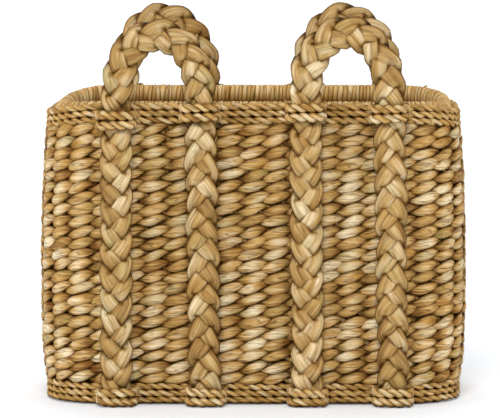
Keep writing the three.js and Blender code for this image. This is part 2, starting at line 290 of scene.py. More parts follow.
def face_offset(height):
    """Outer face of the weave, as an offset from the widest outline."""
    height = np.asarray(height, dtype=float)
    below = np.clip(1 - height / BELLY_HEIGHT, 0, None)
    above = np.clip((height - BELLY_HEIGHT) / (RIM_HEIGHT - BELLY_HEIGHT), 0, None)
    return -FOOT_DRAW_IN * below**FOOT_CURVE_POWER - RIM_DRAW_IN * above**RIM_CURVE_POWER


def outer_offset(height):
    """The same, with the cords of rim and foot standing straight."""
    return face_offset(np.clip(height, BASE_BAND_HEIGHT, (WALL_TOP + RIM_HEIGHT) / 2))


BAND_FACE = float(outer_offset(0)) - CORD_DIAMETER - CLEARANCE


# Strands: a section carried along a path, with values for its colour and its painted shade at every
# point
COLOUR_AND_SHADE_VALUES = ("tone", "warmth", "shade")


def unit(vectors):
    return vectors / np.linalg.norm(vectors, axis=-1, keepdims=True)


def along(points, closed):
    """Unit directions of travel at the points of a path."""
    if closed:
        return unit(np.roll(points, -1, axis=0) - np.roll(points, 1, axis=0))
    return unit(np.gradient(points, axis=0))


def distances(points, closed):
    """Length run at every point, with one more value at the end of a closed path."""
    steps = np.diff(points, axis=0, append=points[:1]) if closed else np.diff(points, axis=0)
    return np.concatenate([[0], np.cumsum(np.linalg.norm(steps, axis=1))])


def spread_evenly(points, count):
    """The same path with its points at equal distances."""
    run = distances(points, False)
    even = np.linspace(0, run[-1], count)
    return np.stack([np.interp(even, run, points[:, axis]) for axis in range(3)], axis=-1), even


def leaf_section(face_points, fullness):
    """Unit section of a leaf bundle, a row of (across, out) pairs with that many on each face.
    Fullness 2 is an ellipse, and more is fuller at the edges."""
    ease = 0.86 * math.pi / 2
    across = np.sin(np.linspace(ease, -ease, face_points)) / math.sin(ease)
    out = (1 - np.abs(across) ** fullness) ** (1 / fullness)
    return np.concatenate([across, across[-2:0:-1]]), np.concatenate([out, -out[-2:0:-1]])


def creased(section, wander, lobes, depth):
    """The section with creases between its leaves, which wander along the strand, and how deep
    each point lies in one, from 0 to 1."""
    across, out = section
    fold = np.abs(np.cos(math.pi * (lobes / 2 * across[None, :] + wander[:, None])))
    crease = (1 - fold**0.7) * (1 - across[None, :] ** 6)
    return (np.broadcast_to(across, crease.shape), out[None, :] * (1 - depth * crease)), crease


def edge_shade(across, darkness, narrowness):
    """Painted shade across a leaf, dark at its edges, where it presses on the next one and less
    light reaches.
    """
    return 1 - darkness * np.abs(across) ** narrowness


def strand(points, outward, half_width, half_thickness, section, closed, values, start, lay=0.0):
    """One strand as arrays. Its widths are one number or change along it. The values are tone,
    warmth and painted shade, kept from 0 to 1, and the fibres climb round it by lay per length run."""
    travel = along(points, closed)
    across = unit(np.cross(travel, outward))
    out = np.cross(across, travel)
    reach = np.broadcast_to(half_width, len(points))[:, None] * section[0]
    lift = np.broadcast_to(half_thickness, len(points))[:, None] * section[1]
    places = points[:, None] + reach[..., None] * across[:, None] + lift[..., None] * out[:, None]
    places[..., 2] = np.maximum(places[..., 2], FLOOR_GAP)
    girth = np.linspace(0, 2 * math.pi * float(np.mean(half_width)), places.shape[1] + 1)
    run = distances(points, closed) + start
    item = {"places": places, "closed": closed, "run": run, "girth": girth, "lay": lay}
    for key, value in zip(COLOUR_AND_SHADE_VALUES, values):
        item[key] = np.clip(np.broadcast_to(value, places.shape[:2]), 0, 1)
    # Painted contact shade: a leaf is darker within a few millimetres of the floor
    floor_light = (places[..., 2] - FLOOR_DARK_HEIGHT) / FLOOR_CONTACT_HEIGHT
    item["shade"] = item["shade"] * np.clip(floor_light, FLOOR_CONTACT_SHADE, 1)

    # The section has to turn with the travel, so that the faces look outward
    spokes = places[0] - points[0]
    turn = np.cross(spokes, np.roll(spokes, -1, axis=0)).sum(axis=0)
    if np.dot(turn, travel[0]) < 0:
        for key in ("places", *COLOUR_AND_SHADE_VALUES):
            item[key] = item[key][:, ::-1]
    return item


def strand_faces(item, first):
    """Faces of a strand as vertex numbers, their sizes and the texture places of their corners."""
    count, sides = item["places"].shape[:2]
    spans = count if item["closed"] else count - 1
    here, side = np.meshgrid(np.arange(spans), np.arange(sides), indexing="ij")
    ahead, beside = (here + 1) % count, (side + 1) % sides
    corners = [(here, side), (here, beside), (ahead, beside), (ahead, side)]
    faces = first + np.stack([row * sides + column for row, column in corners], axis=-1)
    run, girth = item["run"], item["girth"]
    run_pairs = [run[here], run[here], run[here + 1], run[here + 1]]
    girth_pairs = [girth[side], girth[side + 1], girth[side + 1], girth[side]]
    girth_pairs = [pair + item["lay"] * run_pair for pair, run_pair in zip(girth_pairs, run_pairs)]
    places = np.stack([np.stack(run_pairs, -1), np.stack(girth_pairs, -1)], axis=-1).reshape(-1, 2)
    loops, sizes = [faces.ravel()], [np.full(spans * sides, len(corners))]
    if not item["closed"]:
        ends = np.arange(sides)
        loops += [first + ends[::-1], first + (count - 1) * sides + ends]
        sizes.append(np.full(2, sides))
        cap = np.stack([np.zeros(sides), girth[:-1]], axis=-1)
        places = np.concatenate([places, cap[::-1], cap])
    return np.concatenate(loops), np.concatenate(sizes), places


def link_mesh(name, vertices, loops, sizes, leaf_places, values, material, nodes):
    """A mesh piece in its finish, in place of these frame nodes."""
    mesh = bpy.data.meshes.new(name)
    mesh.vertices.add(len(vertices))
    mesh.vertices.foreach_set("co", vertices.ravel())
    mesh.loops.add(len(loops))
    mesh.loops.foreach_set("vertex_index", loops.astype(np.int32))
    mesh.polygons.add(len(sizes))
    starts = np.concatenate([[0], np.cumsum(sizes)[:-1]])
    mesh.polygons.foreach_set("loop_start", starts.astype(np.int32))
    mesh.polygons.foreach_set("use_smooth", np.ones(len(sizes), dtype=bool))
    uv_layer = mesh.uv_layers.new(name="along_leaf")
    uv_layer.data.foreach_set("uv", leaf_places.ravel())
    for key, value in values.items():
        layer = mesh.attributes.new(name=key, type="FLOAT", domain="POINT")
        layer.data.foreach_set("value", value.ravel())
    mesh.update(calc_edges=True)
    mesh.validate()
    mesh.materials.append(material)
    piece = bpy.data.objects.new(name, mesh)
    bpy.context.scene.collection.objects.link(piece)
    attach(piece, "root")
    if nodes:
        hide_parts(*nodes)


def make_piece(name, strands, material, nodes):
    """One piece of several strands."""
    parts, first = [], 0
    for item in strands:
        parts.append(strand_faces(item, first))
        first += item["places"].shape[0] * item["places"].shape[1]
    loops, sizes, leaf_places = (np.concatenate(column) for column in zip(*parts))
    vertices = np.concatenate([item["places"].reshape(-1, 3) for item in strands])
    values = {}
    for key in COLOUR_AND_SHADE_VALUES:
        values[key] = np.concatenate([item[key].ravel() for item in strands])
    link_mesh(name, vertices, loops, sizes, leaf_places, values, material, nodes)


def smooth_noise(rng, count, places, closed, spread):
    """Random values at count even nodes, smoothly joined, read at places from 0 to count."""
    values = rng.normal(0, spread, count + 1)
    if closed:
        values[-1] = values[0]
    low = np.clip(np.floor(places).astype(int), 0, count - 1)
    share = eased(places - low)
    return values[low] * (1 - share) + values[low + 1] * share


# Finishes


def linear(hex_colour):
    """A colour written as sRGB hex, as linear RGBA."""
    channels = [int(hex_colour[i : i + 2], 16) / 255 for i in (1, 3, 5)]
    return [c / 12.92 if c <= 0.04045 else ((c + 0.055) / 1.055) ** 2.4 for c in channels] + [1.0]


def add_node(tree, kind, inputs=None, output=0, **settings):
    """A node with its settings, which gives the output that is asked for. An input that is given a
    socket is linked, and any other is set."""
    made = tree.nodes.new(kind)
    for key, value in settings.items():
        setattr(made, key, value)
    for key, value in (inputs or {}).items():
        if isinstance(value, bpy.types.NodeSocket):
            tree.links.new(value, made.inputs[key])
        else:
            made.inputs[key].default_value = value
    return made.outputs[output] if made.outputs else made


def new_material(name):
    material = bpy.data.materials.new(name)
    material.use_nodes = True
    tree = material.node_tree
    tree.nodes.clear()
    return material, tree


WHITE = (1.0, 1.0, 1.0, 1.0)

# Finish of the leaf: a low sheen, as its wax is thin and cracked, and rougher between the streaks
SHEEN_LEVEL = 0.1
ROUGHNESS_RISE = 0.1
ROUGHNESS_FALL = 0.08
FOLD_DEPTH = 0.6

# The range that a noise mostly stays in, and how near its middle a fold shows
NOISE_LOW = 0.25
NOISE_HIGH = 0.75
FOLD_RANGE = 0.025

# Sockets of a mix of colours, which shares the names of its sockets with other kinds of mix
MIX_SHARE = 0
MIX_FIRST = 6
MIX_SECOND = 7
MIXED_COLOUR = 2


def leaf_patterns(add, fibre_length, fibre_width):
    """Noises stretched along the leaf, and how much each point lies in a fold. The fibres of a real
    leaf are about 0.3 mm apart. That is too fine to show here, so they are drawn coarser."""
    leaf_place = add("ShaderNodeUVMap", uv_map="along_leaf")
    pattern_sizes = {
        "streaks": (fibre_length, fibre_width, 3.0, 0.0),
        "fibres": (fibre_length / 2, fibre_width / 4, 2.0, 3.7),
        "patches": (fibre_length, fibre_width * 5, 2.0, 8.1),
        "folds": (fibre_length * 2, fibre_width * 2.5, 1.0, 5.3),
    }
    patterns = {}
    for pattern, (length, width, detail, shift) in pattern_sizes.items():
        stretched = add("ShaderNodeMapping", {
            "Vector": leaf_place, "Location": (shift, shift, 0), "Scale": (1 / length, 1 / width, 1),
        })
        patterns[pattern] = add("ShaderNodeTexNoise", {
            "Vector": stretched, "Scale": 1.0, "Detail": detail, "Roughness": 0.55,
        })
    middle = (NOISE_LOW + NOISE_HIGH) / 2
    fold_distance = add("ShaderNodeMath", {0: patterns["folds"], 1: middle}, operation="SUBTRACT")
    fold_distance = add("ShaderNodeMath", {0: fold_distance}, operation="ABSOLUTE")
    fold_line = add("ShaderNodeMapRange", {
        "Value": fold_distance, "From Max": FOLD_RANGE, "To Min": 1.0, "To Max": 0.0,
    })
    return patterns, fold_line


def dried_rush(name, colours, fibre_length, fibre_width, relief, roughness, streak_contrast, folds):
    """Dried rush leaf: waxy and satin, streaked along the leaf by its fibres, with tones that
    change from leaf to leaf, green and amber patches, thin folds darkened by painted shade, and
    painted shade, a deep warm brown, where leaves press together or lie deep in the weave."""
    material, tree = new_material(name)
    add = functools.partial(add_node, tree)
    tone, warmth, shade = (
        add("ShaderNodeAttribute", output="Fac", attribute_name=value) for value in COLOUR_AND_SHADE_VALUES
    )
    patterns, fold_line = leaf_patterns(add, fibre_length, fibre_width)

    sums = {"light": tone, "hue": warmth, "height": 0.0}
    additions = [
        ("light", "streaks", streak_contrast),
        ("light", "fibres", 0.12),
        ("light", "patches", 0.25),
        ("hue", "patches", -0.3),
        ("height", "streaks", 0.5),
        ("height", "fibres", 0.18),
    ]
    for target, pattern, amount in additions:
        part = add("ShaderNodeMapRange", {
            "Value": patterns[pattern], "From Min": NOISE_LOW, "From Max": NOISE_HIGH,
            "To Min": -amount, "To Max": amount,
        })
        sums[target] = add("ShaderNodeMath", {0: sums[target], 1: part}, operation="ADD")

    colour = linear(colours["brown"])
    tint = WHITE
    colour_steps = [
        (sums["light"], 0.0, 0.5, 1.0, "straw"),
        (sums["light"], 0.5, 1.0, 1.0, "pale"),
        (sums["hue"], 0.6, 1.1, 0.6, "amber"),
        (sums["hue"], 0.4, -0.1, 0.6, "khaki"),
        # The fold lines get painted shade, a dark colour in the creases, besides their bump
        (fold_line, 0.0, 1.0, folds, "fold"),
    ]
    for value, low, high, most, colour_name in colour_steps:
        share = add("ShaderNodeMapRange", {
            "Value": value, "From Min": low, "From Max": high, "To Max": most,
        })
        mix = {MIX_SHARE: share, MIX_FIRST: colour, MIX_SECOND: linear(colours[colour_name])}
        colour = add("ShaderNodeMix", mix, output=MIXED_COLOUR, data_type="RGBA")
    # Painted shade: the shade value darkens the colour through a warm brown to near black
    for low, high, colour_name in ((1.0, 0.45, "painted_shade"), (0.45, 0.0, "painted_deep_shade")):
        share = add("ShaderNodeMapRange", {"Value": shade, "From Min": low, "From Max": high})
        mix = {MIX_SHARE: share, MIX_FIRST: tint, MIX_SECOND: linear(colours[colour_name])}
        tint = add("ShaderNodeMix", mix, output=MIXED_COLOUR, data_type="RGBA")
    mix = {MIX_SHARE: 1.0, MIX_FIRST: colour, MIX_SECOND: tint}
    colour = add(
        "ShaderNodeMix", mix, output=MIXED_COLOUR, data_type="RGBA", blend_type="MULTIPLY",
    )

    fold_depth = add("ShaderNodeMath", {0: fold_line, 1: FOLD_DEPTH}, operation="MULTIPLY")
    height = add("ShaderNodeMath", {0: sums["height"], 1: fold_depth}, operation="SUBTRACT")
    bump = add("ShaderNodeBump", {"Strength": 1.0, "Distance": relief, "Height": height})
    satin = add("ShaderNodeMapRange", {
        "Value": patterns["streaks"], "From Min": NOISE_LOW, "From Max": NOISE_HIGH,
        "To Min": roughness + ROUGHNESS_RISE, "To Max": roughness - ROUGHNESS_FALL,
    })
    surface = add("ShaderNodeBsdfPrincipled", {
        "Base Color": colour, "Roughness": satin, "IOR": 1.45, "Specular IOR Level": SHEEN_LEVEL,
        "Normal": bump,
    })
    add("ShaderNodeOutputMaterial", {"Surface": surface})
    return material


# The last three colours are painted shade: in the fold lines, and the warm and the deep brown where
# leaves lie in shade
RUSH_COLOURS = {
    "straw": "#CBA261",
    "pale": "#F4E2BC",
    "brown": "#7E5220",
    "amber": "#BA8638",
    "khaki": "#A19150",
    "fold": "#3C2004",
    "painted_shade": "#B09C74",
    "painted_deep_shade": "#2A1600",
}
PLAIT_COLOURS = dict(RUSH_COLOURS, straw="#BD9A60")
CORD_COLOURS = dict(RUSH_COLOURS, straw="#CFA663")
WINDING_COLOURS = dict(RUSH_COLOURS, straw="#CFA869")

# Twined leaf has broad streaks and many folds with dark painted shade in them, plaited leaf lies
# smooth and waxy with fainter fold shade, twisted leaf is finely streaked and dull, and the wound
# leaf is taut, with even fine streaks
twined_rush = dried_rush(
    "twined_rush", RUSH_COLOURS, fibre_length=28 * MM, fibre_width=2.4 * MM, relief=0.7 * MM,
    roughness=0.44, streak_contrast=0.22, folds=0.55,
)
plaited_rush = dried_rush(
    "plaited_rush", PLAIT_COLOURS, fibre_length=40 * MM, fibre_width=3.2 * MM, relief=0.6 * MM,
    roughness=0.42, streak_contrast=0.13, folds=0.3,
)
twisted_rush = dried_rush(
    "twisted_rush", CORD_COLOURS, fibre_length=14 * MM, fibre_width=1.4 * MM, relief=0.5 * MM,
    roughness=0.5, streak_contrast=0.2, folds=0.55,
)
wound_rush = dried_rush(
    "wound_rush", WINDING_COLOURS, fibre_length=30 * MM, fibre_width=1.5 * MM, relief=0.5 * MM,
    roughness=0.46, streak_contrast=0.14, folds=0.55,
)


def painted_wire():
    """Steel wire under thin brown paint: a dull sheen with a slightly uneven coat."""
    patch_size = 3 * MM
    relief = 0.1 * MM
    material, tree = new_material("painted_wire")
    add = functools.partial(add_node, tree)
    place = add("ShaderNodeTexCoord", output="Object")
    coat = add("ShaderNodeTexNoise", {"Vector": place, "Scale": 1 / patch_size, "Detail": 3.0})
    mix = {MIX_SHARE: coat, MIX_FIRST: linear("#2C2017"), MIX_SECOND: linear("#4A3624")}
    colour = add("ShaderNodeMix", mix, output=MIXED_COLOUR, data_type="RGBA")
    bump = add("ShaderNodeBump", {"Strength": 0.3, "Distance": relief, "Height": coat})
    surface = add("ShaderNodeBsdfPrincipled", {
        "Base Color": colour, "Roughness": 0.45, "Normal": bump,
    })
    add("ShaderNodeOutputMaterial", {"Surface": surface})
    return material


wire_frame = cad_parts["wire_frame"]
wire_frame.data.materials.clear()
wire_frame.data.materials.append(painted_wire())


# Twining: two strands that swap places between the stakes


def stitch_top(place, crossing_share):
    """Upper edge of a stitch along it, from its low left tip to its high right one. Place is 0 at
    the middle of the stitch, and the next one of the course is 1 further."""
    rise = np.clip((place + 0.5) / crossing_share, -1, 1)
    return (0.55 * np.sin(math.pi / 2 * rise) + 0.45 * rise) * (1 + STITCH_SLANT_SHARE * place)


def twined_strands(rng, stake, place_at, closed):
    """Two strands along a course. place_at(stake, out, up) gives points and outward directions."""
    section = leaf_section(STITCH_FACE_POINTS, STITCH_FULLNESS)
    count = int(round(stake[-1] - stake[0])) + 1
    nodes = stake - stake[0]

    def noise(value):
        return smooth_noise(rng, count, nodes, closed, STITCH_SPREADS[value])

    strands = []
    for start in (0, 1):
        place = np.mod(stake + start + noise("place") + 1, 2) - 1
        reach = np.abs(place)
        most = STITCH_SPREADS["crossing"]
        crossing = CROSSING_SHARE * (1 + np.clip(noise("crossing"), -most, most))
        top, foot = stitch_top(place, crossing), -stitch_top(-place, crossing)
        half = np.maximum((top - foot) / 2, TIP_HALF_SHARE)
        middle = np.where(place < 0, foot + half, top - half)
        behind = eased((reach - BEHIND_SHARE) / BEHIND_EASE_SHARE)
        half = half + (1 - half) * behind
        middle = middle * (1 - behind)
        front = np.cos(math.pi * reach**1.4)
        half = half + 0.06 * (1 - np.abs(front))
        half_height = STITCH_HALF_HEIGHT * half * (1 + noise("height"))
        half_thickness = STITCH_HALF_THICKNESS * (1 + noise("thickness"))
        out = (WALL_THICKNESS / 2 - STITCH_HALF_THICKNESS) * front + noise("depth")
        wave = STITCH_WAVE * np.sin(2 * math.pi * place)
        rise = STITCH_HALF_HEIGHT * middle + wave + noise("rise")
        points, outward = place_at(stake, out, rise)
        creases, crease_depth = creased(section, noise("folds") + place, 2.2, 0.25)
        # The middle of each stitch is painted lighter and its tips darker: a painted highlight and
        # shade on its bulge
        tone = STITCH_TONE + noise("tone") + 0.14 * np.cos(2 * math.pi * reach)
        warmth = STITCH_WARMTH + noise("warmth")
        # Painted shade: darker where the strand turns in at a crossing, at its edges and in its
        # creases
        nearness = 0.3 + 0.7 * np.clip(np.where(front > 0, 1.6, 4.0) * np.abs(front), 0, 1)
        shade = edge_shade(section[0], 0.97, 4.5) * nearness[:, None] * (1 - 0.3 * crease_depth**2)
        strands.append(strand(
            points, outward, half_height, half_thickness, creases, closed,
            (tone[:, None], warmth[:, None], shade), rng.uniform(0, PATTERN_REACH), -FIBRE_LAY,
        ))
    return strands


def wall_courses():
    """The courses of the wall above the foot, and those behind the cords of the foot."""
    stake = np.arange(STAKES * STITCH_STEPS) / STITCH_STEPS - 0.5
    courses = []
    for row in range(FOOT_COURSES):
        height = (row + 0.5) * BASE_BAND_HEIGHT / FOOT_COURSES
        courses.append((f"foot_course_{row + 1}", height, BAND_FACE))
    for row in range(COURSES):
        height = BASE_BAND_HEIGHT + (row + 0.5) * COURSE_HEIGHT
        courses.append((f"wall_course_{row + 1:02d}", height, float(face_offset(height))))
    nodes = (stake + 0.5) / WANDER_STAKES
    for number, (name, height, face) in enumerate(courses):
        rng = np.random.default_rng(COURSE_SEED + number)
        core = face - WALL_THICKNESS / 2
        wander = smooth_noise(rng, STAKES // WANDER_STAKES, nodes, True, COURSE_WANDER)

        def place_at(stakes, out, up):
            return plan_place(stakes, core + out, height + up + wander)

        strands = twined_strands(rng, stake, place_at, True)
        # The courses behind the foot's cords get painted shade
        if height < BASE_BAND_HEIGHT:
            for item in strands:
                item["shade"] = item["shade"] * FOOT_SHADE
        make_piece(name, strands, twined_rush, ["woven_wall"])


def base_mat_weave():
    """Rows of twining along the basket, each as long as the foot of the wall lets it be."""
    edge_radius = CORNER_RADIUS + BAND_FACE - WALL_THICKNESS - 2 * CLEARANCE
    half_depth = CENTRE_Y + edge_radius
    rows = int(round(2 * half_depth / COURSE_HEIGHT))
    bay = 2 * CENTRE_X / LONG_SIDE_STAKES
    strands = []
    for row in range(rows):
        rng = np.random.default_rng(BASE_MAT_SEED + row)
        y = -half_depth + (row + 0.5) * 2 * half_depth / rows
        beyond = max(abs(y) - CENTRE_Y, 0)
        reach = CENTRE_X + math.sqrt(edge_radius**2 - beyond**2) - STITCH_HALF_THICKNESS
        stake = np.arange(-reach, reach, bay / MAT_STITCH_STEPS) / bay

        def place_at(stakes, out, up):
            points = np.stack([stakes * bay, y + up, MAT_THICKNESS / 2 + out], axis=-1)
            return points, np.broadcast_to([0.0, 0.0, 1.0], points.shape)

        strands += twined_strands(rng, stake, place_at, False)
    make_piece("base_mat_weave", strands, twined_rush, ["base_mat"])


def foot_shade_ring():
    """A dark ring of leaf round the lower edge of the wall, under the cords of the foot, nearly
    black with painted shade so that it shows as the dark gap there.
    """
    stakes = np.arange(STAKES * FOOT_SHADE_RING_STEPS) / FOOT_SHADE_RING_STEPS
    half = FOOT_SHADE_RING_HALF_HEIGHT
    points, outward = plan_place(stakes, BAND_FACE - half - CLEARANCE, half + FLOOR_GAP)
    section = leaf_section(CORD_FACE_POINTS, 2.5)
    ring = strand(points, outward, half, half, section, True, FOOT_SHADE_RING_COLOUR_AND_SHADE, 0.0)
    make_piece("foot_shade_ring", [ring], twined_rush, [])


def wall_stakes():
    """Rush stakes inside the weave: three in each space between two upright wires, dark with
    painted shade. The wide ones at the crossings are dark strips that fill the gaps where the weave
    would let light through.
    """
    section = leaf_section(CORD_FACE_POINTS, 2.0)
    heights = np.linspace(BASE_BAND_HEIGHT, WALL_TOP - CLEARANCE, STAKE_POINTS)
    core = face_offset(heights) - WALL_THICKNESS / 2
    strands = []
    for number in range(STAKES * 2):
        stake = number / 2
        if stake % 2 == 0:
            continue
        rng = np.random.default_rng(STAKE_SEED + number)
        points, outward = plan_place(np.full(STAKE_POINTS, stake), core, heights)
        half_width = STAKE_RADIUS if stake % 1 == 0 else CROSSING_SHADE_STRIP_HALF_WIDTH
        strands.append(strand(
            points, outward, half_width, STAKE_RADIUS, section, False, STAKE_COLOUR_AND_SHADE,
            rng.uniform(0, PATTERN_REACH),
        ))
    make_piece("wall_stakes", strands, twined_rush, [])


# Cords: two plies laid round each other


def twisted_cord(rng, points, outward, height, thickness, lay, closed, paleness):
    """Two plies that wind round a path, falling to the right where they show."""
    run = distances(points, closed)
    turns = run[-1] / lay
    if closed:
        turns = round(turns)
    share = run[: len(points)] / run[-1]
    travel = along(points, closed)
    up = unit(np.cross(outward, travel))
    section = leaf_section(CORD_FACE_POINTS, PLY_FULLNESS)
    segments = max(int(turns * 2), 2)
    nodes = share * segments

    def noise(value):
        return smooth_noise(rng, segments, nodes, closed, PLY_SPREADS[value])

    wobble = noise("wobble")
    strands = []
    for ply in (0, 1):
        phase = 2 * math.pi * turns * share + math.pi * ply + noise("turn")
        orbit_out = PLY_ORBIT_OUT_SHARE * thickness * np.cos(phase)
        orbit_up = PLY_ORBIT_UP_SHARE * height * np.sin(phase) + wobble
        centre = points + orbit_out[:, None] * outward - orbit_up[:, None] * up
        half = PLY_HALF_WIDTH_SHARE * (height + thickness) / 2 * (1 + noise("size"))
        tone = paleness + noise("tone")
        warmth = PLY_WARMTH + noise("warmth")
        # Painted shade: a ply is darker where it turns in towards the cord's core, and at its edges
        nearness = 0.4 + 0.6 * np.clip(0.75 * np.cos(phase) + 0.7, 0, 1)
        shade = edge_shade(section[0], 0.6, 4) * nearness[:, None]
        strands.append(strand(
            centre, outward, half, half * PLY_FLATNESS, section, closed,
            (tone[:, None], warmth[:, None], shade), rng.uniform(0, PATTERN_REACH),
        ))
    return strands


def band_cords(band, foot, row_height, squeeze, seed):
    """Three cords round the rim or the foot, each in place of its own ring. Behind the front they
    lie closer together by the squeeze."""
    for row, level in enumerate(BAND_ROWS):
        rng = np.random.default_rng(seed + row)
        height = foot + (row + 0.5) * row_height
        offset = float(outer_offset(height)) - CORD_DIAMETER / 2
        _, length = stakes_along(offset, np.zeros(1))
        count = int(round(length / CORD_LAY)) * CORD_STEPS
        stakes, _ = stakes_along(offset, np.arange(count) / count)
        points, _ = plan_place(stakes, offset, 0.0)
        behind = eased((HALF_DEPTH + points[:, 1]) / CORNER_RADIUS)
        heights = foot + (height - foot) * (1 - squeeze * behind)
        points, outward = plan_place(stakes, offset, heights)
        cord = twisted_cord(
            rng, points, outward, row_height, CORD_DIAMETER, CORD_LAY, True, CORD_PALENESS,
        )
        node = f"{band}_cord_{level}"
        if node == "rim_cord_upper":
            # Nothing lies on this cord, so its top gets less painted shade, as it is open to the
            # light
            for item in cord:
                rise = (item["places"][..., 2] - points[:, 2:]) / row_height
                bare = 0.7 * np.clip(3 * rise - 0.3, 0, 1)
                item["shade"] = item["shade"] + (1 - item["shade"]) * bare
        make_piece(f"{node}_plies", cord, twisted_rush, [node])


# Rim winding: one leaf wound round and round, as a ring whose grooves follow the turns


def winding_faces(column, side, columns):
    """Point numbers of the ring's faces. The leaf ends a turn where it starts the next one."""
    beside = (side + 1) % WRAP_SIDES
    step = np.where(side == WRAP_SIDES - 1, WRAP_STEPS, 0)
    ahead = (column + 1) % columns
    corners = [
        column * WRAP_SIDES + side,
        ahead * WRAP_SIDES + side,
        (ahead + step) % columns * WRAP_SIDES + beside,
        (column + step) % columns * WRAP_SIDES + beside,
    ]
    return np.stack(corners, axis=-1).reshape(-1, 4)


def winding_leaf_places(wrap, inside, girth_share, girth):
    """Texture places of those corners, along and across the wound leaf."""
    run = wrap * girth + girth_share * girth
    width = inside * WRAP_WIDTH + wrap * WRAP_PATTERN_SHIFT * WRAP_WIDTH
    next_run = run + girth / WRAP_SIDES
    next_width = width + WRAP_WIDTH / WRAP_STEPS
    corners = [(run, width), (run, next_width), (next_run, next_width), (next_run, width)]
    return np.stack([np.stack(corner, axis=-1) for corner in corners], axis=-2).reshape(-1, 2)


def rim_winding_wraps():
    """The ring, in columns of points across it. Its crown stands higher at the ends and back."""
    rng = np.random.default_rng(RIM_WINDING_SEED)
    low, high = WALL_TOP + CLEARANCE, RIM_HEIGHT
    half_height = (high - low) / 2
    half_thickness = RIM_WINDING_THICKNESS / 2
    core = float(outer_offset(RIM_HEIGHT)) - CORD_DIAMETER - CLEARANCE - half_thickness
    _, length = stakes_along(core, np.zeros(1))
    wraps = int(round(length / WRAP_WIDTH))
    widths = rng.uniform(*WRAP_WIDTH_SHARES, wraps)
    edges = np.concatenate([[0], np.cumsum(widths)]) / widths.sum()
    columns = wraps * WRAP_STEPS
    column, side = np.meshgrid(np.arange(columns), np.arange(WRAP_SIDES), indexing="ij")
    girth_share = side / WRAP_SIDES
    angle = girth_share * 2 * math.pi
    wrap = column // WRAP_STEPS
    inside = column % WRAP_STEPS / WRAP_STEPS

    lean = rng.normal(0, WRAP_SPREADS["lean"], wraps + 1)
    lean[-1] = lean[0]
    column_lean = np.interp(column / WRAP_STEPS, np.arange(wraps + 1), lean)
    position = column / WRAP_STEPS + girth_share + column_lean * np.sin(2 * math.pi * girth_share)
    whole = np.floor(position / wraps)
    share = whole + np.interp(position - whole * wraps, np.arange(wraps + 1), edges)
    stakes, _ = stakes_along(core, share)
    crown = np.sqrt(np.clip(1 - (2 * inside - 1) ** 2, 0, 1))
    fatness = rng.uniform(*WRAP_FATNESS_SHARES, wraps)[wrap]
    sink = WRAP_GROOVE * (1 - crown * fatness)
    across = squarer(np.cos(angle), RIM_WINDING_SQUARENESS)
    up = squarer(np.sin(angle), RIM_WINDING_SQUARENESS)
    at_ends = eased(1.3 * at_stake(stakes, KNOT_END_SHARES))
    at_back = eased(0.5 + at_stake(stakes, KNOT_Y) / (2 * CENTRE_Y))
    crown_rise = END_CROWN_RISE * at_ends + BACK_CROWN_RISE * at_back
    heights = (low + high) / 2 + up * (half_height - sink) + crown_rise * np.clip(up, 0, 1)
    points, _ = plan_place(stakes, core + across * (half_thickness - sink), heights)

    faces = winding_faces(column, side, columns)
    girth = 2 * (RIM_WINDING_THICKNESS + high - low)
    leaf_places = winding_leaf_places(wrap, inside, girth_share, girth)
    values = {
        "tone": np.clip(rng.normal(WRAP_TONE, WRAP_SPREADS["tone"], wraps), 0, 1)[wrap],
        "warmth": np.clip(rng.normal(WRAP_WARMTH, WRAP_SPREADS["warmth"], wraps), 0, 1)[wrap],
        # Painted shade: darker in the grooves between the turns and towards the bottom of the ring
        "shade": (0.4 + 0.6 * crown**0.7) * np.clip(0.65 + 0.75 * up, 0.15, 1),
    }
    link_mesh(
        "rim_winding_wraps", points.reshape(-1, 3), faces.ravel(), np.full(len(faces), 4),
        leaf_places, values, wound_rush, ["rim_winding"],
    )


# Plaits


def leg_line(leg, height):
    """How far to the right the middle of a leg lies at this height."""
    side = -1 if leg < len(LEGS) / 2 else 1
    is_outer = leg in (0, len(LEGS) - 1)
    handle_line = side * (HANDLE_CENTRE + (HANDLE_HALF_SPAN if is_outer else -HANDLE_HALF_SPAN))
    return handle_line + FOOT_DRIFT[leg] * np.maximum(1 - height / SPRING_HEIGHT, 0)


def plait_lift(height):
    """How far in front of the basket's middle a plait runs at this height."""
    return HALF_DEPTH + outer_offset(height) + PLAIT_CLEARANCE + PLAIT_THICKNESS / 2


def plait_route(node, start_leg, end_leg):
    """Middle line of a plait, from the foot of one leg over the handle to the foot of the other."""
    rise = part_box(node)[1][2] - PLAIT_WIDTH / 2 - SPRING_HEIGHT
    heights = np.linspace(PLAIT_FOOT, SPRING_HEIGHT, PLAIT_ROUTE_POINTS)[:-1]
    start_x, end_x = leg_line(start_leg, SPRING_HEIGHT), leg_line(end_leg, SPRING_HEIGHT)
    angle = np.linspace(0, math.pi, PLAIT_ROUTE_POINTS)
    arch_x = (start_x + end_x) / 2 + (start_x - end_x) / 2 * np.cos(angle)
    arch_z = SPRING_HEIGHT + rise * np.sin(angle)
    x = np.concatenate([leg_line(start_leg, heights), arch_x, leg_line(end_leg, heights)[::-1]])
    z = np.concatenate([heights, arch_z, heights[::-1]])
    points = np.stack([x, -plait_lift(z), z], axis=-1)
    length = distances(points, False)[-1]
    return spread_evenly(points, int(length / PLAIT_STEP))


def pinch(points, lashing_heights):
    """Width of the plait as a share of the full one: it is drawn in under its lashings."""
    share = np.ones(len(points))
    reach = PINCH_REACH_TURNS * LASHING_TURN_HEIGHT
    for height in lashing_heights:
        near = np.clip(1 - np.abs(points[:, 2] - height) / reach, 0, 1)
        share = np.minimum(share, 1 - (1 - PLAIT_PINCH_SHARE) * np.sqrt(near))
    return share


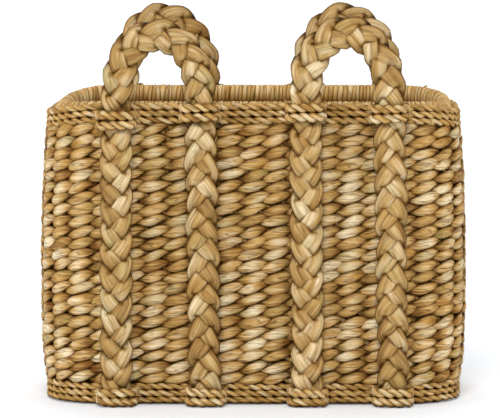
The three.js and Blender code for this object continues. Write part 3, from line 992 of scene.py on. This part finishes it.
def plait_strands(seed, points, run, share):
    """Three bundles of leaf plaited along a route that faces -Y. Each one crosses on top from an
    edge to the middle, and goes on under the next."""
    rng = np.random.default_rng(seed)
    outward = np.broadcast_to([0.0, -1.0, 0.0], points.shape)
    sideways = unit(np.cross(along(points, False), outward))
    swing = PLAIT_WIDTH / 2 - EDGE_HALF_WIDTH
    nodes = run / (PLAIT_CYCLE / 2)
    count = int(nodes[-1]) + 1
    section = leaf_section(LEAF_FACE_POINTS, LEAF_FULLNESS)
    across = section[0][None, :]

    def noise(value):
        return smooth_noise(rng, count, nodes, False, BUNDLE_SPREADS[value])

    sways, lifts, widths, slants, thicknesses = [], [], [], [], []
    for bundle in range(BUNDLES):
        turn = 2 * math.pi * (run / PLAIT_CYCLE + bundle / BUNDLES) + noise("turn")
        swayed = 0.45 * np.sin(turn) + 0.55 * np.arcsin(np.sin(turn)) * 2 / math.pi
        size = share * (1 + noise("size"))
        width = LEAF_HALF_WIDTH + (EDGE_HALF_WIDTH - LEAF_HALF_WIDTH) * np.abs(np.sin(turn)) ** 4
        sways.append(share * swing * swayed * (1 + noise("sway")))
        lifts.append((LEAF_HALF_THICKNESS - PLAIT_THICKNESS / 2) * np.sin(2 * turn))
        widths.append(width * size)
        thicknesses.append(LEAF_HALF_THICKNESS * size)
        slants.append(np.arctan(np.gradient(sways[-1], run)))

    def covered(bundle):
        """How close each point of a bundle lies to the edge of one that covers it, from 0 to 1."""
        reach = widths[bundle][:, None] * across
        slant = slants[bundle][:, None]
        place = sways[bundle][:, None] + reach * np.cos(slant)
        at_run = run[:, None] - reach * np.sin(slant)
        closeness = np.zeros(place.shape)
        for other in range(BUNDLES):
            if other == bundle:
                continue
            sway, lift, width, slope = (
                np.interp(at_run, run, values[other]) for values in (sways, lifts, widths, slants)
            )
            gap = np.abs(place - sway) * np.cos(slope) - width
            height = (lift - lifts[bundle][:, None]) * np.clip(2 * section[1], -1, 1)
            is_over = np.clip(1.6 * height / LEAF_HALF_THICKNESS, 0, 1)
            closeness = np.maximum(closeness, is_over * (1 - np.clip(gap / CONTACT_WIDTH, 0, 1)))
        return closeness

    lashed = np.clip((LASHED_SHARE - share) / (LASHED_SHARE - PLAIT_PINCH_SHARE), 0, 1)[:, None]
    stretch = np.minimum(nodes.astype(int), count)[:, None]
    strands = []
    for bundle in range(BUNDLES):
        centre = points + sways[bundle][:, None] * sideways + lifts[bundle][:, None] * outward
        wander = noise("folds")
        creases, crease_depth = creased(section, wander, 1.5, 0.1)
        leaf = np.floor((across + 1) * 1.3 + wander[:, None] + 1).astype(int)
        leaf = np.clip(leaf, 0, BUNDLE_LEAVES - 1)
        leaf_tones = rng.normal(0, BUNDLE_SPREADS["leaf_tone"], (count + 1, BUNDLE_LEAVES))
        tone = PLAIT_TONE + noise("tone")[:, None] + leaf_tones[stretch, leaf]
        warmth = PLAIT_WARMTH + noise("warmth")
        # Painted shade: darker next to the edge of a bundle that covers it, under the lashings, at
        # its edges and in its creases
        painted_shade = (1 - 0.9 * covered(bundle)) * (1 - 0.8 * lashed)
        shade = edge_shade(across, 0.9, 8) * (1 - 0.45 * crease_depth**2) * painted_shade
        strands.append(strand(
            centre, outward, widths[bundle], thicknesses[bundle], creases, False,
            (tone, warmth[:, None], shade), rng.uniform(0, PATTERN_REACH),
            PLAIT_FIBRE_LAY * (-1) ** bundle,
        ))
    return strands


def turned_to_side(strands, side):
    """The back is the front turned half round."""
    if side == "back":
        for item in strands:
            item["places"] = item["places"] * np.array([-1, -1, 1])
    return strands


def hand_name(name, side):
    """Name of a leg or plait as seen from the front."""
    if side == "front":
        return name
    return name.replace("left", "RIGHT").replace("right", "left").replace("RIGHT", "right")


def lashing_strands(seed, leg, low, high):
    """Two turns of cord round a plait leg, from the cords behind it and back to them."""
    rng = np.random.default_rng(seed)
    turn_height = (high - low) / 2
    middle_x = leg_line(leg, (low + high) / 2)
    band = HALF_DEPTH + float(outer_offset((low + high) / 2))
    front = float(plait_lift(low)) + PLAIT_THICKNESS / 2
    radius = LASHING_THICKNESS / 2
    strands = []
    for row in (0, 1):
        angle = np.linspace(0, math.pi, LASHING_ARC_POINTS)
        x = -squarer(np.cos(angle), LASHING_SQUARENESS) * (LASHED_HALF_WIDTH + radius)
        lift = band - radius + np.sqrt(np.sin(angle)) * (front + radius - band + radius)
        z = low + (row + 0.5) * turn_height + rng.uniform(-1.0, 1.0) * LASHING_SLANT * np.cos(angle)
        points, _ = spread_evenly(np.stack([middle_x + x, -lift, z], axis=-1), LASHING_POINTS)
        outward = unit(np.cross(along(points, False), [0.0, 0.0, 1.0]))
        strands += twisted_cord(
            rng, points, outward, turn_height * LASHING_FULLNESS, LASHING_THICKNESS, LASHING_LAY,
            False, LASHING_PALENESS,
        )
    return strands


def loose_end(rng, foot, tip, outward, half_width):
    """A torn leaf end that narrows to a point and bends away from the weave."""
    foot, tip, outward = (np.array(value, dtype=float) for value in (foot, tip, outward))
    share = np.linspace(0, 1, LOOSE_END_POINTS)
    bend = LOOSE_END_BEND * np.sin(math.pi / 2 * share)
    points = foot + share[:, None] * (tip - foot) + bend[:, None] * outward
    # Painted shade: darker at the foot, where the end comes out of the weave
    shade = np.clip(0.25 + 2.5 * share, 0, 1)[:, None]
    return strand(
        points, np.broadcast_to(outward, points.shape), half_width * (1 - 0.94 * share**1.6),
        LOOSE_END_HALF_THICKNESS * (1 - 0.5 * share), leaf_section(CORD_FACE_POINTS, 2.0), False,
        (rng.uniform(0.45, 0.75), rng.uniform(0.3, 0.6), shade), rng.uniform(0, PATTERN_REACH),
    )


def lashing_ends(seed, leg, low, high):
    """Short loose ends beside a lashing, lying on the cords."""
    rng = np.random.default_rng(seed)
    middle_x = leg_line(leg, (low + high) / 2)
    lift = HALF_DEPTH + float(outer_offset((low + high) / 2)) + LOOSE_END_LIFT
    ends = []
    for side in (-1, -1, 1):
        angle = rng.uniform(-1.2, 1.3)
        length = rng.uniform(*LOOSE_END_LENGTHS)
        foot_x = middle_x + side * (LASHED_HALF_WIDTH + LASHING_THICKNESS / 4)
        foot = (foot_x, -lift, low + rng.uniform(0.25, 0.85) * (high - low))
        tip = (foot_x + side * length * math.cos(angle), -lift, foot[2] + length * math.sin(angle))
        half_width = rng.uniform(*LOOSE_END_HALF_WIDTHS)
        ends.append(loose_end(rng, foot, tip, (0, -1, 0), half_width))
    return ends


def torn_leaves():
    """A broad torn leaf at the foot of the right front handle, and a short one at the back right
    corner of the rim."""
    rng = np.random.default_rng(TORN_LEAF_SEED)
    lift = float(plait_lift(TORN_LEAF_FOOT[1])) + PLAIT_THICKNESS / 2 - TORN_LEAF_SINK
    foot, tip = ((x, -lift, z) for x, z in (TORN_LEAF_FOOT, TORN_LEAF_TIP))
    broad = loose_end(rng, foot, tip, (0, -1, 0), TORN_LEAF_HALF_WIDTH)
    crown = float(outer_offset(RIM_HEIGHT)) - CORD_DIAMETER - RIM_WINDING_THICKNESS / 2
    foot, _ = plan_place(RIM_TIP_STAKE, crown, RIM_HEIGHT + RIM_TIP_RISE)
    tip = foot + RIM_TIP_REACH
    short = loose_end(rng, foot, tip, (0, -1, 0), RIM_TIP_HALF_WIDTH)
    make_piece("torn_leaves", [broad, short], twisted_rush, [])


def plaits_and_lashings():
    """The plaits and lashings of both sides. Those of the back are made as a front and turned."""
    for side_number, side in enumerate(("front", "back")):
        lashing_heights = []
        for leg, name in enumerate(LEGS):
            heights = []
            for band_number, band in enumerate(("rim", "base")):
                node = f"{side}_{hand_name(name, side)}_{band}_lashing"
                low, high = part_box(node)[0][2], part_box(node)[1][2]
                low, high = max(low - LASHING_SAG, FLOOR_GAP), high + LASHING_RISE
                heights.append((low + high) / 2)
                number = side_number * SIDE_SEED_STEP + leg * 2 + band_number
                strands = lashing_strands(LASHING_SEED + number, leg, low, high)
                strands += lashing_ends(LOOSE_END_SEED + number, leg, low, high)
                strands = turned_to_side(strands, side)
                make_piece(f"{node}_cord", strands, twisted_rush, [node])
            lashing_heights.append(heights)
        for plait, (left_leg, right_leg) in enumerate(((0, 1), (2, 3))):
            node = f"{side}_{hand_name(('left', 'right')[plait], side)}_plait"
            points, run = plait_route(node, right_leg, left_leg)
            share = pinch(points, lashing_heights[left_leg] + lashing_heights[right_leg])
            strands = plait_strands(PLAIT_SEED + side_number * 2 + plait, points, run, share)
            strands = turned_to_side(strands, side)
            make_piece(f"{node}_leaves", strands, plaited_rush, [node])


wall_courses()
base_mat_weave()
foot_shade_ring()
wall_stakes()
band_cords("rim", WALL_TOP, RIM_CORD_PITCH, RIM_CORD_SQUEEZE, RIM_CORD_SEED)
band_cords("base", CORD_LIFT, BASE_CORD_PITCH, 0, BASE_CORD_SEED)
rim_winding_wraps()
plaits_and_lashings()
torn_leaves()


# Studio, in metres
FLOOR_HALF_SIZE = 6.0
FLOOR_GLOW = 0.18
WORLD_STRENGTH = 0.28


def white_floor():
    """A matt white sheet that looks white to the camera and still keeps the basket's shadow."""
    half = FLOOR_HALF_SIZE
    mesh = bpy.data.meshes.new("studio_floor")
    corners = [(-half, -half, 0), (half, -half, 0), (half, half, 0), (-half, half, 0)]
    mesh.from_pydata(corners, [], [(0, 1, 2, 3)])
    floor = bpy.data.objects.new("studio_floor", mesh)
    bpy.context.scene.collection.objects.link(floor)
    material, tree = new_material("studio_white")
    add = functools.partial(add_node, tree)
    surface = add("ShaderNodeBsdfPrincipled", {"Base Color": linear("#E9ECF0"), "Roughness": 0.9})
    glow = add("ShaderNodeEmission", {"Color": WHITE, "Strength": FLOOR_GLOW})
    camera_ray = add("ShaderNodeLightPath", output="Is Camera Ray")
    seen_glow = add("ShaderNodeMixShader", {0: camera_ray, 2: glow})
    both = add("ShaderNodeAddShader", {0: surface, 1: seen_glow})
    add("ShaderNodeOutputMaterial", {"Surface": both})
    mesh.materials.append(material)


def world_light():
    """An even dim light from all round, which is full white where the camera sees it."""
    world = bpy.data.worlds.new("studio_world")
    bpy.context.scene.world = world
    world.use_nodes = True
    tree = world.node_tree
    tree.nodes.clear()
    add = functools.partial(add_node, tree)
    camera_ray = add("ShaderNodeLightPath", output="Is Camera Ray")
    strength = add("ShaderNodeMapRange", {
        "Value": camera_ray, "To Min": WORLD_STRENGTH, "To Max": 1.0,
    })
    background = add("ShaderNodeBackground", {"Color": WHITE, "Strength": strength})
    add("ShaderNodeOutputWorld", {"Surface": background})


def aim(thing, place, target):
    """Puts a lamp or camera at place, looking at target."""
    thing.location = place
    thing.rotation_euler = (Vector(target) - Vector(place)).to_track_quat("-Z", "Y").to_euler()


def soft_sun(name, place, strength, spread):
    """A far, wide lamp that shines from place onto the basket and lights the floor evenly."""
    data = bpy.data.lights.new(name, "SUN")
    data.energy = strength
    data.angle = spread
    lamp = bpy.data.objects.new(name, data)
    bpy.context.scene.collection.objects.link(lamp)
    aim(lamp, place, (0, 0, 0))


# The photograph's view: a long lens a little above the rim, 500 by 418 pixels
IMAGE_WIDTH = 500
PIXELS_PER_METRE = 995
CAMERA_DISTANCE = 5.0
CAMERA_ELEVATION = math.radians(6.2)
CAMERA_AZIMUTH = math.radians(-0.7)
SENSOR_WIDTH = 36
AIM = (-2.6 * MM, -HALF_DEPTH, 200 * MM)


def photo_camera():
    data = bpy.data.cameras.new("photo_camera")
    data.sensor_width = SENSOR_WIDTH
    data.lens = SENSOR_WIDTH * PIXELS_PER_METRE * CAMERA_DISTANCE / IMAGE_WIDTH
    data.clip_end = 20 * CAMERA_DISTANCE
    camera = bpy.data.objects.new("photo_camera", data)
    bpy.context.scene.collection.objects.link(camera)
    level_distance = CAMERA_DISTANCE * math.cos(CAMERA_ELEVATION)
    place = (
        AIM[0] - level_distance * math.sin(CAMERA_AZIMUTH),
        AIM[1] - level_distance * math.cos(CAMERA_AZIMUTH),
        AIM[2] + CAMERA_DISTANCE * math.sin(CAMERA_ELEVATION),
    )
    aim(camera, place, AIM)
    bpy.context.scene.camera = camera


white_floor()
world_light()
soft_sun("key_light", (-0.1, -1.6, 1.5), strength=2.0, spread=math.radians(24))
soft_sun("top_light", (0.0, 0.9, 2.0), strength=1.1, spread=math.radians(40))
soft_sun("left_light", (-2.0, -0.7, 0.2), strength=1.85, spread=math.radians(40))
soft_sun("right_light", (2.0, -0.7, 0.2), strength=1.5, spread=math.radians(40))
photo_camera()
bpy.context.scene.view_settings.view_transform = "Standard"
